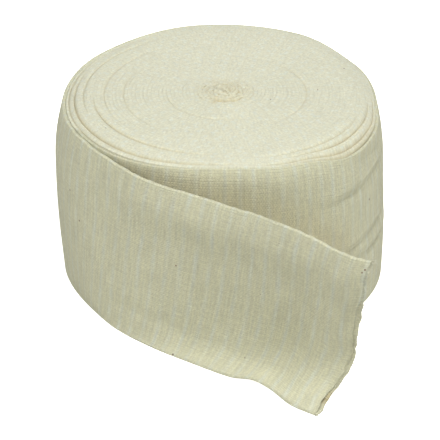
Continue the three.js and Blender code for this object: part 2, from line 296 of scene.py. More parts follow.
@dataclass(frozen=True)
class RollForm:
    """The sizes of the wound roll, and where each place of an evenly wound one has settled.

    Attributes:
        seam_angle: Where the turns are counted from.
        core_centre: How far the core sits off the axis.
        shoulder_span: Heights over which the side draws in at the shoulder.
        lean_span: Heights over which the side leans in.
        foot_span: Heights over which the side draws in at the foot.
        draw_reach: How deep into the roll the draw of the outermost turn reaches.
        shoulder_width: Width of the ring in which the turns have slipped down.
        shoulder_fall: How steeply they fall towards the rim.
        rim_round: How far the rim of the slipped turns is rounded in.
        rim_start: Angles over which that rounding begins.
        rim_end: Angles over which it ends, from the far side.
        rim_depth: How far below the rim it starts.
        sides: The side's sizes from angle to angle.
        grooves: The deeper lines of the upper end.
        creases: The creases of the right side.
    """

    seam_angle: float = 100.0
    core_centre: Span = (1.7, 2.0)
    shoulder_span: Span = (58.0, 86.0)
    lean_span: Span = (20.0, 86.0)
    foot_span: Span = (50.0, 0.0)
    draw_reach: float = 19.0
    shoulder_width: float = 13.0
    shoulder_fall: float = 2.2
    rim_round: float = 2.2
    rim_start: Span = (240.0, 270.0)
    rim_end: Span = (335.0, 300.0)
    rim_depth: float = 9.0
    sides: tuple[Side, ...] = (
        Side(0, 82.5, 4, 2.6, 0.9),
        Side(30, 84, 3.4, 1.6, 1.5),
        Side(60, 87, 2.6, 0.6, 2),
        Side(100, 87, 2.8, 0.3, 2.4),
        Side(140, 85.5, 4.2, 0.4, 2.8),
        Side(180, 84, 4.6, 0.4, 3),
        Side(205, 84.5, 3.4, 0.3, 4.2),
        Side(230, 85, 1.9, 0.2, 3.6),
        Side(270, 86, 3, 0.5, 2.6),
        Side(300, 83.5, 2.6, 1, 1.4),
        Side(322, 77.5, 1.6, 1.6, 0.7),
        Side(342, 78, 2.4, 2.4, 0.7),
        Side(360, 82.5, 4, 2.6, 0.9),
    )
    grooves: tuple[Groove, ...] = (
        Groove(1, 110, 225, 0.8),
        Groove(3, 160, 275, 1.3),
        Groove(6, 120, 200, 0.6),
        Groove(9, 185, 266, 1.0),
        Groove(12, 120, 215, 0.4),
        Groove(17, 150, 235, 0.4),
        Groove(22, 300, 420, 0.35),
        Groove(28, 180, 300, 0.4),
        Groove(1, 292, 352, 0.6),
        Groove(2, 284, 362, 1.0),
        Groove(4, 296, 356, 0.9),
        Groove(6, 286, 340, 0.6),
        Groove(38, 225, 318, 1.6, 0.7),
    )
    creases: tuple[Crease, ...] = (
        Crease((349, 70), (319, 78), 0.4, 0.3),
        Crease((350, 63.5), (312, 61), 0.7, 0.9, 3.0, 0.9),
        Crease((352, 37), (320, 34), 0.6, 0.7, 2.4, 0.9),
        Crease((354, 25.5), (326, 27.4), 0.8, 1.0, 2.2, 0.9),
    )

    def side_at(self, angle: float) -> Side:
        """The side's sizes at an angle, eased between the rows.

        Args:
            angle: Degrees, any number of turns.

        Returns:
            The sizes there.
        """
        a = angle % 360
        for before, after in zip(self.sides, self.sides[1:]):
            if a <= after.angle:
                share = ease(a, before.angle, after.angle)
                return Side(
                    a,
                    mix(before.height, after.height, share),
                    mix(before.shoulder, after.shoulder, share),
                    mix(before.lean, after.lean, share),
                    mix(before.foot, after.foot, share),
                )
        return self.sides[-1]

    def spiral(self, angle: float) -> float:
        """Outer radius of the turn at a total angle, before it is drawn in."""
        return ROLL_RADIUS - TURN_PITCH * (1 - (angle - self.seam_angle) / 360)

    def draw(self, side: Side, height: float) -> float:
        """How far the outermost turn is drawn in.

        Args:
            side: The side's sizes at the angle.
            height: Height on the side.

        Returns:
            The distance inwards.
        """
        upper = side.shoulder * share_of(height, *self.shoulder_span) ** 2
        slope = side.lean * share_of(height, *self.lean_span)
        lower = side.foot * share_of(height, *self.foot_span) ** 1.6
        window = ease(side.angle, *self.rim_start) * ease(side.angle, *self.rim_end)
        near_rim = share_of(height, side.height - self.rim_depth, side.height)
        rounding = self.rim_round * window * near_rim**2
        return upper + slope + lower + rounding

    def settle(self, angle: float, radius: float, height: float) -> Span:
        """Where a place of an evenly wound roll lies in the settled one.

        Args:
            angle: Degrees.
            radius: Even radius.
            height: Even height, from 0 to the cloth's width.

        Returns:
            The settled radius and height.
        """
        side = self.side_at(angle)
        depth = max(0.0, ROLL_RADIUS - radius)
        pull = nearness(depth, self.draw_reach) ** 1.3
        settled = radius - pull * self.draw(side, height * side.height / CLOTH_WIDTH)
        rim = ROLL_RADIUS - self.draw(side, side.height)
        top = radius - pull * self.draw(side, side.height)
        fall = nearness(max(0.0, rim - top), self.shoulder_width) ** self.shoulder_fall
        drop = (CLOTH_WIDTH - side.height) * fall
        return settled, height * (1 - drop / CLOTH_WIDTH)

    def groove_depth(self, angle: float, radius: float) -> float:
        """Depth of the deeper grooves at an even place of the upper end.

        Args:
            angle: Total angle.
            radius: Even radius.

        Returns:
            The depth.
        """
        a = self.seam_angle + (angle - self.seam_angle) % 360
        below = self.spiral(a) - radius
        return sum(groove.depth_at(a, below) for groove in self.grooves)

    def crease_depth(self, angle: float, height: float) -> float:
        """Depth of the creases at a place on the side."""
        a = angle % 360
        return sum(crease.depth_at(a, height) for crease in self.creases)

    def centre(self, radius: float) -> Vector:
        """The middle that a turn of this radius is wound round."""
        share = max(0.0, 1 - radius / ROLL_RADIUS)
        return Vector((self.core_centre[0] * share, self.core_centre[1] * share, 0.0))


def make_piece(name: str, bm: bmesh.types.BMesh) -> bpy.types.Object:
    """Turns a finished mesh into an object.

    Args:
        name: The object's name.
        bm: The mesh, which is freed.

    Returns:
        The object, at the origin.
    """
    mesh = bpy.data.meshes.new(name)
    bm.to_mesh(mesh)
    bm.free()
    piece = bpy.data.objects.new(name, mesh)
    bpy.context.scene.collection.objects.link(piece)
    return piece


@dataclass
class ClothGrid:
    """A grid of faces laid along a tube of cloth, closed round the tube.

    Attributes:
        name: Name of the piece.
        along: Distance along the cloth at each station, in millimetres.
        around: Distance round the tube at each row, from 0 to its whole girth.
        skew: Gives how far the courses run ahead at a station and row.
    """

    name: str
    along: list[float]
    around: list[float]
    skew: Callable[[int, int], float] = lambda i, k: 0.0

    def build(
        self,
        place: Callable[[int, int], Vector],
        painted_shade: Callable[[int, int], float],
        closed_ends: bool,
    ) -> bpy.types.Object:
        """Makes the mesh.

        Args:
            place: Gives a grid point's place in millimetres from its station and row.
            painted_shade: Gives the painted shade at that point, from 0 to 1, stronger deeper in a
                crevice.
            closed_ends: Whether the tube's two ends are closed.

        Returns:
            The object, at the origin, with the cloth's own lengths in metres as its UV map.
        """
        stations, rows = len(self.along) - 1, len(self.around) - 1
        bm = bmesh.new()
        cloth_map = bm.loops.layers.uv.new(CLOTH_MAP)
        # Each point keeps its painted shade in a layer of its own.
        shade_layer = bm.verts.layers.float.new(PAINTED_SHADE)
        bmesh.ops.create_grid(bm, x_segments=stations, y_segments=rows, size=0.5)
        cells = {}
        for vert in bm.verts:
            i = round((vert.co.x + 0.5) * stations)
            k = round((vert.co.y + 0.5) * rows)
            cells[vert] = (i, k)
        for face in bm.faces:
            face.smooth = True
            for loop in face.loops:
                i, k = cells[loop.vert]
                ahead = self.along[i] + self.skew(i, k)
                loop[cloth_map].uv = (ahead * METRES, self.around[k] * METRES)
        seam = []
        for vert, (i, k) in cells.items():
            vert.co = place(i, k % rows) * METRES
            vert[shade_layer] = painted_shade(i, k % rows)
            if k in (0, rows):
                seam.append(vert)
        bmesh.ops.remove_doubles(bm, verts=seam, dist=1e-7)
        if closed_ends:
            rim = [edge for edge in bm.edges if edge.is_boundary]
            bmesh.ops.holes_fill(bm, edges=rim, sides=0)
        bmesh.ops.recalc_face_normals(bm, faces=bm.faces)
        return make_piece(self.name, bm)


@dataclass
class Wiring:
    """Adds and joins the nodes of one tree.

    Attributes:
        tree: The node tree.
    """

    tree: bpy.types.NodeTree

    def node(self, kind: str, **settings: object) -> bpy.types.Node:
        """Adds a node and sets its options.

        Args:
            kind: The node's type.
            settings: Its options by name.

        Returns:
            The node.
        """
        made = self.tree.nodes.new(kind)
        for name, value in settings.items():
            setattr(made, name, value)
        return made

    def feed(self, socket: bpy.types.NodeSocket, value: object) -> None:
        """Gives a socket a number or colour, or joins another socket to it.

        Args:
            socket: The input socket.
            value: A plain value or an output socket.
        """
        if isinstance(value, bpy.types.NodeSocket):
            self.tree.links.new(value, socket)
        else:
            socket.default_value = value

    def fill(self, node: bpy.types.Node, values: dict[str, object]) -> None:
        """Gives a node's inputs their values.

        Args:
            node: The node.
            values: A plain value or an output socket for each input's name.
        """
        for name, value in values.items():
            self.feed(node.inputs[name], value)

    def math(self, operation: str, *values: object, clamp: bool = False) -> bpy.types.NodeSocket:
        """A Math node.

        Args:
            operation: What it works out.
            values: Its inputs, numbers or sockets.
            clamp: Whether the result stays between 0 and 1.

        Returns:
            Its output.
        """
        made = self.node("ShaderNodeMath", operation=operation, use_clamp=clamp)
        for socket, value in zip(made.inputs, values):
            self.feed(socket, value)
        return made.outputs[0]

    def scaled(self, vector: object, factors: Triple) -> bpy.types.NodeSocket:
        """A vector multiplied part by part.

        Args:
            vector: The vector's socket.
            factors: The three factors.

        Returns:
            The product's socket.
        """
        made = self.node("ShaderNodeVectorMath", operation="MULTIPLY")
        self.feed(made.inputs[0], vector)
        made.inputs[1].default_value = factors
        return made.outputs[0]

    def ramp(self, value: object, spans: Shade) -> bpy.types.NodeSocket:
        """A value mapped softly from one span to another.

        Args:
            value: The value's socket.
            spans: From low, from high, to low, to high.

        Returns:
            The mapped value's socket.
        """
        made = self.node("ShaderNodeMapRange", interpolation_type="SMOOTHSTEP")
        names = ("Value", "From Min", "From Max", "To Min", "To Max")
        self.fill(made, dict(zip(names, (value, *spans))))
        return made.outputs["Result"]

    def noise(self, vector: object, scale: float, detail: float = 2.0) -> bpy.types.NodeSocket:
        """Noise from 0 to 1.

        Args:
            vector: The place's socket.
            scale: How fine it is.
            detail: How many finer layers it has.

        Returns:
            The noise's socket.
        """
        made = self.node("ShaderNodeTexNoise")
        self.fill(made, {"Vector": vector, "Scale": scale, "Detail": detail})
        return made.outputs[0]

    def tint(self, share: object, a: object, b: object, blend: str = "MIX") -> bpy.types.NodeSocket:
        """Two colours mixed.

        Args:
            share: How much of the second.
            a: The first colour.
            b: The second colour.
            blend: How they are mixed.

        Returns:
            The mixed colour's socket.
        """
        made = self.node("ShaderNodeMix", data_type="RGBA", blend_type=blend)
        self.feed(made.inputs["Factor"], share)
        for name, colour in (("A", a), ("B", b)):
            socket = next(s for s in made.inputs if s.name == name and s.type == "RGBA")
            self.feed(socket, colour)
        return next(s for s in made.outputs if s.type == "RGBA")


def start_material(name: str) -> tuple[bpy.types.Material, Wiring, bpy.types.Node]:
    """Makes a material that is still plain.

    Args:
        name: Its name.

    Returns:
        The material, its wiring and its shader node.
    """
    material = bpy.data.materials.new(name)
    material.use_nodes = True
    w = Wiring(material.node_tree)
    shader = next(n for n in w.tree.nodes if n.type == "BSDF_PRINCIPLED")
    return material, w, shader


@dataclass
class EffectGroup:
    """A node group with named inputs and outputs, built once and placed in each material.

    Attributes:
        name: Name of the group.
        numbers: Its number inputs and their usual values.
        results: Its outputs.
    """

    name: str
    numbers: dict[str, float]
    results: tuple[str, ...]

    def open(self) -> tuple[Wiring, bpy.types.Node, bpy.types.Node]:
        """Makes the empty group.

        Returns:
            Its wiring, and its input and output nodes.
        """
        tree = bpy.data.node_groups.new(self.name, "ShaderNodeTree")
        tree.interface.new_socket("Cloth", in_out="INPUT", socket_type="NodeSocketVector")
        for label, value in self.numbers.items():
            made = tree.interface.new_socket(label, in_out="INPUT", socket_type="NodeSocketFloat")
            made.default_value = value
        for label in self.results:
            tree.interface.new_socket(label, in_out="OUTPUT", socket_type="NodeSocketFloat")
        return (
            Wiring(tree),
            tree.nodes.new("NodeGroupInput"),
            tree.nodes.new("NodeGroupOutput"),
        )


class KnitEffects:
    """The effects that the cloth's materials share, on the cloth's own place in millimetres.

    Attributes:
        COURSE_STRETCH: How fine the streaks across the cloth are, each way.
        WALE_STRETCH: How fine the streaks along the cloth are, each way.
        SPECK_SCALE: How close together the places for seed specks are.
        SPECK_SPAN: The speck's inner and outer size, as a share of the distance between them.
        stitches: The group of the V-shaped stitches.
        stripes: The group of the elastic threads.
        slub: The group of the uneven yarns.
        flecks: The group of the seed specks.
    """

    COURSE_STRETCH: Triple = (1.1, 0.07, 1.0)
    WALE_STRETCH: Triple = (0.09, 1.3, 1.0)
    SPECK_SCALE: float = 0.13
    SPECK_SPAN: Span = (0.035, 0.08)

    def __init__(self) -> None:
        """Builds the groups."""
        self.stitches = self.build_stitches()
        self.stripes = self.build_stripes()
        self.slub = self.build_slub()
        self.flecks = self.build_flecks()

    def build_stitches(self) -> bpy.types.NodeTree:
        """Columns of V-shaped stitches, as a height from 0 to 1.

        Returns:
            The group.
        """
        group = EffectGroup("knit_stitches", {"Wale": 1.05, "Course": 1.25}, ("Height",))
        w, start, end = group.open()
        drift = w.node("ShaderNodeVectorMath", operation="MULTIPLY_ADD")
        w.feed(drift.inputs[0], w.noise(start.outputs["Cloth"], 0.35, 3.0))
        drift.inputs[1].default_value = (1.5, 0.9, 0.0)
        w.feed(drift.inputs[2], start.outputs["Cloth"])
        parts = w.node("ShaderNodeSeparateXYZ")
        w.feed(parts.inputs[0], drift.outputs[0])
        wale = w.math("DIVIDE", parts.outputs["Y"], start.outputs["Wale"])
        side = w.math("MULTIPLY", w.math("PINGPONG", wale, 0.5), 2.0)
        number = w.math("FLOOR", w.math("ADD", wale, 0.5))
        offset = w.math("MULTIPLY", w.math("MODULO", number, 2.0), 0.5)
        leg = w.ramp(side, (0.5, 1.0, 1.0, 0.45))
        spine = w.ramp(side, (0.0, 0.35, 0.72, 1.0))
        course = w.math("DIVIDE", parts.outputs["X"], start.outputs["Course"])
        slant = w.math("ADD", w.math("MULTIPLY_ADD", side, 0.55, course), offset)
        yarn = w.math("COSINE", w.math("MULTIPLY", slant, math.tau))
        loops = w.math("MULTIPLY_ADD", yarn, 0.2, 0.8)
        height = w.math("MULTIPLY", w.math("MULTIPLY", leg, spine), loops)
        w.feed(end.inputs["Height"], height)
        return w.tree

    def build_stripes(self) -> bpy.types.NodeTree:
        """The pale elastic threads laid in across the cloth, strong and weak by turns.

        Returns:
            The group.
        """
        group = EffectGroup("elastic_stripes", {"Period": 6.4}, ("Mask",))
        w, start, end = group.open()
        cloth = start.outputs["Cloth"]
        parts = w.node("ShaderNodeSeparateXYZ")
        w.feed(parts.inputs[0], cloth)
        waver = w.noise(w.scaled(cloth, (0.15, 0.06, 1.0)), 1.0)
        x = w.math("MULTIPLY_ADD", waver, 1.6, parts.outputs["X"])
        half = w.math("MULTIPLY", start.outputs["Period"], 0.5)
        distance = w.math("PINGPONG", x, half)
        strong = w.ramp(distance, (0.1, 1.7, 1.0, 0.0))
        weak = w.ramp(w.math("SUBTRACT", half, distance), (0.1, 0.8, 0.25, 0.0))
        broken = w.noise(w.scaled(cloth, (0.35, 0.1, 1.0)), 1.0, 3.0)
        strength = w.ramp(broken, (0.3, 0.7, 0.25, 1.0))
        mask = w.math("MULTIPLY", w.math("ADD", strong, weak, clamp=True), strength)
        w.feed(end.inputs["Mask"], mask)
        return w.tree

    def build_slub(self) -> bpy.types.NodeTree:
        """Uneven yarns: fine streaks across and along the cloth, a broad mottle and a fine grain.

        Returns:
            The group.
        """
        group = EffectGroup("cotton_slub", {}, ("Courses", "Wales", "Mottle", "Grain"))
        w, start, end = group.open()
        cloth = start.outputs["Cloth"]
        for run, label in ((Run.ACROSS, "Courses"), (Run.ALONG, "Wales")):
            stretch = self.COURSE_STRETCH if run is Run.ACROSS else self.WALE_STRETCH
            w.feed(end.inputs[label], w.noise(w.scaled(cloth, stretch), 1.0, 2.0))
        w.feed(end.inputs["Mottle"], w.noise(cloth, 0.07, 3.0))
        w.feed(end.inputs["Grain"], w.noise(cloth, 0.8, 3.0))
        return w.tree

    def build_flecks(self) -> bpy.types.NodeTree:
        """Sparse specks of seed coat in the cotton.

        Returns:
            The group.
        """
        group = EffectGroup("seed_flecks", {"Rarity": 0.8}, ("Mask",))
        w, start, end = group.open()
        cells = w.node("ShaderNodeTexVoronoi")
        w.fill(cells, {"Vector": start.outputs["Cloth"], "Scale": self.SPECK_SCALE})
        pick = w.node("ShaderNodeSeparateColor")
        w.feed(pick.inputs[0], cells.outputs["Color"])
        chosen = w.math("GREATER_THAN", pick.outputs[0], start.outputs["Rarity"])
        spot = w.ramp(cells.outputs["Distance"], (*self.SPECK_SPAN, 1.0, 0.0))
        w.feed(end.inputs["Mask"], w.math("MULTIPLY", chosen, spot))
        return w.tree


@dataclass(frozen=True)
class CottonKnit:
    """The finish of the unbleached knitted cloth.

    Attributes:
        name: Name of the material.
        cream: Colour of the cotton.
        elastic: Colour of the elastic threads.
        pit_shade: Colour of the painted shade in the gaps between the stitches.
        pit_shade_share: How much of that painted shade shows there.
        shade_colour: Colour of the painted shade in crevices, hollows and the open mouth.
        fleck: Colour of the seed specks.
        rarity: Share of the places that stay free of specks.
        stitch_depth: Depth of the stitches' relief, in metres.
        grain: How much the cloth varies from point to point.
        mottle_shade: Span of the broad mottle's noise, and the shades that it gives.
        course_shade: The same for the streaks across the cloth.
        wale_shade: The same for the streaks along the cloth.
        roughness: Roughness of the yarn.
        gloss: Specular level of the yarn.
        sheen: Strength of the fuzz.
        sheen_roughness: How soft the fuzz looks.
        stripe_share: How much of the elastic threads' colour shows.
        course_relief: Relief of the uneven courses, as a share of the stitches'.
        stripe_relief: Relief of the elastic threads, as a share of the stitches'.
    """

    name: str
    cream: Colour = (0.62, 0.61, 0.425, 1.0)
    elastic: Colour = (0.645, 0.69, 0.62, 1.0)
    pit_shade: Colour = (0.34, 0.29, 0.15, 1.0)
    pit_shade_share: float = 0.44
    shade_colour: Colour = (0.45, 0.36, 0.17, 1.0)
    fleck: Colour = (0.16, 0.09, 0.04, 1.0)
    rarity: float = 0.8
    stitch_depth: float = 0.00035
    grain: float = 0.07
    mottle_shade: Shade = (0.2, 0.8, 0.97, 1.03)
    course_shade: Shade = (0.25, 0.75, 0.91, 1.07)
    wale_shade: Shade = (0.2, 0.8, 0.95, 1.05)
    roughness: float = 0.93
    gloss: float = 0.2
    sheen: float = 0.18
    sheen_roughness: float = 0.6
    stripe_share: float = 0.58
    course_relief: float = 0.5
    stripe_relief: float = 0.35

    def build(self, effects: KnitEffects) -> bpy.types.Material:
        """Makes the material.

        Args:
            effects: The shared node groups.

        Returns:
            The material.
        """
        material, w, shader = start_material(self.name)
        uv = w.node("ShaderNodeUVMap", uv_map=CLOTH_MAP)
        cloth = w.scaled(uv.outputs[0], (MILLIMETRES, MILLIMETRES, 1.0))

        def effect(tree: bpy.types.NodeTree) -> bpy.types.Node:
            """Places one of the shared groups on the cloth.

            Args:
                tree: The group.

            Returns:
                Its node.
            """
            made = w.node("ShaderNodeGroup", node_tree=tree)
            w.feed(made.inputs["Cloth"], cloth)
            return made

        stitches, stripes = effect(effects.stitches), effect(effects.stripes)
        slub, flecks = effect(effects.slub), effect(effects.flecks)
        flecks.inputs["Rarity"].default_value = self.rarity

        shade = w.ramp(slub.outputs["Mottle"], self.mottle_shade)
        shade = w.math("MULTIPLY", shade, w.ramp(slub.outputs["Courses"], self.course_shade))
        shade = w.math("MULTIPLY", shade, w.ramp(slub.outputs["Wales"], self.wale_shade))
        grain = w.ramp(slub.outputs["Grain"], (0.3, 0.7, 1 - self.grain, 1 + self.grain))
        shade = w.math("MULTIPLY", shade, grain)
        stripe = w.math("MULTIPLY", stripes.outputs["Mask"], self.stripe_share)
        striped = w.tint(stripe, self.cream, self.elastic)
        # Painted shade: the low places between the stitches are darkened towards the stitch-gap
        # shade colour.
        stitch_shading = w.ramp(stitches.outputs["Height"], (0.0, 0.8, self.pit_shade_share, 0.0))
        striped = w.tint(stitch_shading, striped, self.pit_shade)
        # Painted shade: where the mesh marks a crevice, a hollow or the open mouth, the colour is
        # mixed towards the dark brownish shade colour.
        painted_shade = w.node("ShaderNodeAttribute", attribute_name=PAINTED_SHADE)
        shade_mixed = w.tint(painted_shade.outputs["Fac"], striped, self.shade_colour)
        shaded = w.node("ShaderNodeVectorMath", operation="SCALE")
        w.feed(shaded.inputs[0], shade_mixed)
        w.feed(shaded.inputs["Scale"], shade)
        specked = w.tint(flecks.outputs["Mask"], shaded.outputs[0], self.fleck)
        w.feed(shader.inputs["Base Color"], specked)

        courses, loops = slub.outputs["Courses"], stitches.outputs["Height"]
        relief = w.math("MULTIPLY_ADD", courses, self.course_relief, loops)
        relief = w.math("MULTIPLY_ADD", stripes.outputs["Mask"], self.stripe_relief, relief)
        knit = w.node("ShaderNodeBump")
        w.fill(knit, {"Strength": 1.0, "Distance": self.stitch_depth, "Height": relief})
        yarn = {
            "Normal": knit.outputs[0],
            "Roughness": self.roughness,
            "Specular IOR Level": self.gloss,
            "Sheen Weight": self.sheen,
            "Sheen Roughness": self.sheen_roughness,
        }
        w.fill(shader, yarn)
        return material


@dataclass
class InnerTurns:
    """The wound turns: one long spiral of the flattened tube, both layers as one solid strip.

    Attributes:
        form: The roll's form.
        first_radius: Radius where the innermost turn starts.
        least_radius: The smallest radius of any point.
        tuck_angle: Total angle where the strip starts to thin out under the outer turn.
        end_angle: Total angle where it ends.
        tuck_steps: Lengths of cloth from the tuck to its two last stations.
        tuck_bend: Degrees from the tuck to the first of them.
        tuck_share: Share of the thickness that is left at the end.
        tuck_drop: How far the strip's upper edge drops there.
        half_thickness: Half the strip's thickness.
        fold_height: Height of the rounding of the folded edge.
        levels: Even heights of the section's points on each face.
        fold_points: Points round the upper fold.
        core_step: Length of a step along the strip in the core.
        rim_step: Length of a step near the rim.
        step_span: Radii over which the one grows to the other.
        upper_start: Even height from which the upper end has a form of its own.
        crumple_radius: Radius of the part in which the cloth is crumpled.
        crumple_scale: How fine the crumpling is.
        crumple: How far it moves the cloth sideways.
        knuckles: How far it moves the upper edge up or down.
        dome: The rise of the upper edge round the core, by radius.
        core_shade: How much painted shade the whole crumpled cloth gets.
        knuckle_shade: How much more painted shade its hollows get.
        turn_jitter: How unevenly high the turns stand.
        line_shade: How much painted shade the lines between the turns get.
        line_span: Share of the half thickness over which such a line begins.
        shaded_gaps: Place and size of the gaps in the core that get deep painted shade.
        angles: Total angle at each station, filled in when the strip is laid.
    """

    form: RollForm
    first_radius: float = 1.2
    least_radius: float = 0.3
    tuck_angle: float = 206.6
    end_angle: float = 208.6
    tuck_steps: Span = (0.6, 2.6)
    tuck_bend: float = 0.4
    tuck_share: float = 0.12
    tuck_drop: float = 1.8
    half_thickness: float = 0.845
    fold_height: float = 0.05
    levels: tuple[float, ...] = (1.2, 24.0, 48.0, 64.0, 76.0, 84.0, 87.3)
    fold_points: int = 6
    core_step: float = 0.8
    rim_step: float = 3.1
    step_span: Span = (6.0, 24.0)
    upper_start: float = 60.0
    crumple_radius: float = 14.0
    crumple_scale: float = 0.42
    crumple: float = 1.1
    knuckles: float = 1.1
    dome: Hump = Hump(4.0, 4.0, 1.2)
    core_shade: float = 0.12
    knuckle_shade: float = 0.8
    turn_jitter: float = 0.1
    line_shade: float = 0.16
    line_span: Span = (0.75, 1.0)
    shaded_gaps: tuple[Triple, ...] = ((-3.6, -8.6, 0.7),)
    angles: list[float] = field(default_factory=list)

    def step_at(self, radius: float) -> float:
        """Length of one step along the strip, finer in the core."""
        return mix(self.core_step, self.rim_step, ease(radius, *self.step_span))

    def lay_stations(self) -> list[float]:
        """Fills in the total angles of the stations, from the core outwards.

        Returns:
            The distance along the cloth at each station.
        """
        turns = (ROLL_RADIUS - TURN_PITCH - self.first_radius) / TURN_PITCH
        angle = self.form.seam_angle - 360 * turns
        along, distance = [0.0], 0.0
        self.angles = [angle]
        while angle < self.tuck_angle:
            radius = max(self.first_radius, self.form.spiral(angle))
            step = self.step_at(radius)
            angle += math.degrees(step / radius)
            distance += step
            self.angles.append(min(angle, self.tuck_angle))
            along.append(distance)
        self.angles += [self.tuck_angle + self.tuck_bend, self.end_angle]
        along += [distance + length for length in self.tuck_steps]
        return along

    def section(self) -> list[Span]:
        """The strip's cross-section: offset from its middle and even height, round the tube.

        Returns:
            The points, up the outer face, over the fold, down the inner face and under it.
        """
        half, rise = self.half_thickness, self.fold_height
        outer = [(half, z) for z in self.levels]
        top_fold = []
        for n in range(1, self.fold_points + 1):
            turn = math.pi * n / (self.fold_points + 1)
            across = half * math.copysign(abs(math.cos(turn)) ** 0.4, math.cos(turn))
            top_fold.append((across, CLOTH_WIDTH - rise + rise * math.sin(turn) ** 0.8))
        inner = [(-half, z) for z in reversed(self.levels)]
        low_fold = [(-half * 0.6, 0.25), (0.0, 0.0), (half * 0.6, 0.25)]
        return outer + top_fold + inner + low_fold

    def girth(self, section: Sequence[Span]) -> list[float]:
        """Distance round the tube at each point of the section.

        Args:
            section: The section's points.

        Returns:
            The distances, ending with the whole girth.
        """
        around = [0.0]
        closed = [*section, section[0]]
        for (x0, z0), (x1, z1) in zip(closed, closed[1:]):
            around.append(around[-1] + math.hypot(x1 - x0, z1 - z0))
        factor = TUBE_ROUND / around[-1]
        return [distance * factor for distance in around]

    def crumpled_place(self, place: Vector, share: float) -> tuple[Vector, float]:
        """Crumples a place near the core, where the first folds were wound.

        Args:
            place: The place, level with the floor.
            share: How crumpled the cloth is there, from 0 to 1.

        Returns:
            The moved place, and the unevenness of the upper edge there.
        """
        x, y = place.x * self.crumple_scale, place.y * self.crumple_scale
        shift = Vector((ripple(x, y, 3.1), ripple(x, y, 9.7), 0.0))
        fine = Vector((ripple(2.6 * x, 2.6 * y, 5.3), ripple(2.6 * x, 2.6 * y, 1.9), 0.0))
        knuckle = ripple(2.4 * x, 2.4 * y, 0.4) + 0.6 * ripple(5.0 * x, 5.0 * y, 8.4)
        return place + share * self.crumple * (1.6 * shift + 0.55 * fine), knuckle

    def gap_shade(self, place: Vector) -> float:
        """The painted shade at a place of the core, where a gap between two folds goes deep."""
        spots = ((math.hypot(place.x - x, place.y - y), size) for x, y, size in self.shaded_gaps)
        return sum(bump(distance, 0.0, size) for distance, size in spots)

    def place(self, angle: float, offset: float, height: float) -> tuple[Vector, float]:
        """One point of the strip.

        Args:
            angle: Total angle.
            offset: Distance from the strip's middle, outwards.
            height: Even height.

        Returns:
            The point, and its painted shade, which is stronger deeper in a crevice.
        """
        middle = self.form.spiral(angle) - TURN_PITCH / 2
        tucked = ease(angle, self.tuck_angle, self.end_angle)
        radius = max(self.least_radius, middle + offset * mix(1.0, self.tuck_share, tucked))
        upper = ease(height, self.upper_start, CLOTH_WIDTH)
        a = math.radians(angle)
        settled, z = self.form.settle(angle, radius, height)
        turn_noise = ripple(middle * 0.55, 1.7 * math.cos(a), 1.7 * math.sin(a))
        groove = self.form.groove_depth(angle, radius) * upper
        z += upper * (self.turn_jitter * turn_noise - self.tuck_drop * tucked) - groove
        level = Vector((settled * math.cos(a), settled * math.sin(a), 0.0))
        place = self.form.centre(settled) + level
        crumpled = nearness(radius, self.crumple_radius) ** 0.6
        # Painted shade in the crumpled core: some over all of it, more in its hollows and deep
        # gaps.
        pit_shade = 0.0
        if crumpled > 0:
            place, knuckle = self.crumpled_place(place, crumpled)
            z += upper * crumpled * (self.dome.over(radius) + self.knuckles * knuckle)
            pit_shade = crumpled * (self.core_shade + self.knuckle_shade * max(0.0, -knuckle))
            pit_shade += self.gap_shade(place)
        place.z = max(0.0, z)
        # Painted shade along the lines between the turns, in the deeper grooves and at the turns'
        # sides in the core.
        sides = ease(abs(offset) / self.half_thickness, *self.line_span)
        line_noise = ripple(middle * 0.3, 2.2 * math.cos(a), 2.2 * math.sin(a) + 4)
        line = self.line_shade * sides * ease(line_noise, -0.4, 0.5)
        depth = min(1.0, 0.5 * groove + line + 0.5 * crumpled * sides + pit_shade)
        return place, depth * upper

    def build(self, cloth: bpy.types.Material) -> bpy.types.Object:
        """Makes the spiral.

        Args:
            cloth: Its material.

        Returns:
            The piece.
        """
        along = self.lay_stations()
        section = self.section()
        placed = [[self.place(angle, x, z) for x, z in section] for angle in self.angles]
        grid = ClothGrid("wound_turns", along, self.girth(section))
        piece = grid.build(
            lambda i, k: placed[i][k][0], lambda i, k: placed[i][k][1], closed_ends=True
        )
        piece.data.materials.append(cloth)
        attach(piece, "root")
        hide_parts("wound_roll")
        log.info("wound_turns: %.2f m of cloth, %d stations", along[-1] * METRES, len(along))
        return piece


@dataclass(frozen=True)
class CottonThread:
    """The finish of the loose thread ends: pale cotton, a little uneven along its length.

    Attributes:
        name: Name of the material.
        pale: Its lighter colour.
        dull: Its darker colour.
        uneven: Span of the noise that mixes the two, and the shares that it gives.
        relief: Depth of the twist's relief, in metres.
        roughness: Roughness of the yarn.
        gloss: Specular level of the yarn.
    """

    name: str = "thread_cotton"
    pale: Colour = (0.7, 0.7, 0.58, 1.0)
    dull: Colour = (0.56, 0.53, 0.38, 1.0)
    uneven: Shade = (0.3, 0.7, 0.0, 1.0)
    relief: float = 0.00005
    roughness: float = 0.9
    gloss: float = 0.2

    def build(self, effects: KnitEffects) -> bpy.types.Material:
        """Makes the material.

        Args:
            effects: The shared node groups.

        Returns:
            The material.
        """
        material, w, shader = start_material(self.name)
        place = w.node("ShaderNodeTexCoord").outputs["Object"]
        slub = w.node("ShaderNodeGroup", node_tree=effects.slub)
        w.feed(slub.inputs["Cloth"], w.scaled(place, (MILLIMETRES,) * 3))
        share = w.ramp(slub.outputs["Grain"], self.uneven)
        twist = w.node("ShaderNodeBump")
        w.fill(twist, {"Distance": self.relief, "Height": slub.outputs["Grain"]})
        yarn = {
            "Base Color": w.tint(share, self.pale, self.dull),
            "Normal": twist.outputs[0],
            "Roughness": self.roughness,
            "Specular IOR Level": self.gloss,
        }
        w.fill(shader, yarn)
        return material


